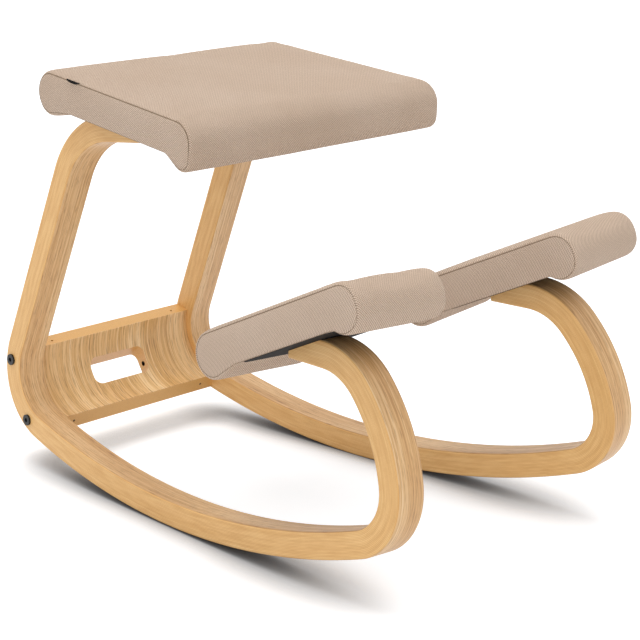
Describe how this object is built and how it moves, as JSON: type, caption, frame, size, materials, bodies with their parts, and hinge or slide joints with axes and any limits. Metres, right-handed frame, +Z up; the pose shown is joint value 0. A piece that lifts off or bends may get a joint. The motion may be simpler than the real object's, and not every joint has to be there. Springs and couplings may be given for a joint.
{
  "type": "rocking kneeling chair",
  "caption": "Rocking kneeling chair with bent laminated wood runners, a curved crosspiece with a hand slot, a fabric seat and fabric knee pads.",
  "frame": {"origin": "on the floor, below the middle of the chair's length and width, between the two rockers", "axes": "+X to the front, where the knee pads are; +Y to the sitter's left; +Z up"},
  "size_m": [0.719, 0.473, 0.5188],
  "materials": {
    "laminated_wood": "clear matt lacquer over oak veneer",
    "plywood": "raw birch plywood",
    "foam": "moulded polyurethane foam, under the cover",
    "twill": "beige woven twill",
    "black_cloth": "black woven tape",
    "black_plastic": "matt black",
    "black_steel": "black oxide",
    "zinc_steel": "zinc plated"
  },
  "bodies": {
    "root": {"runner_right": "laminated_wood", "runner_left": "laminated_wood", "crosspiece": "laminated_wood", "crosspiece_bolts": "black_steel", "crosspiece_sleeves": "zinc_steel", "sleeve_pins": "black_steel", "seat_board": "plywood", "seat_base_plate": "black_plastic", "seat_foam": "foam", "seat_cover": "twill", "seat_tab": "black_cloth", "seat_screws": "black_steel", "seat_washers": "zinc_steel", "seat_nuts": "zinc_steel", "knee_pad_screws": "black_steel", "knee_pad_washers": "zinc_steel", "knee_pad_nuts": "zinc_steel", "knee_pad_base_right": "black_plastic", "knee_pad_board_right": "plywood", "knee_pad_foam_right": "foam", "knee_pad_cover_right": "twill", "knee_pad_base_left": "black_plastic", "knee_pad_board_left": "plywood", "knee_pad_foam_left": "foam", "knee_pad_cover_left": "twill"}
  },
  "joints": []
}
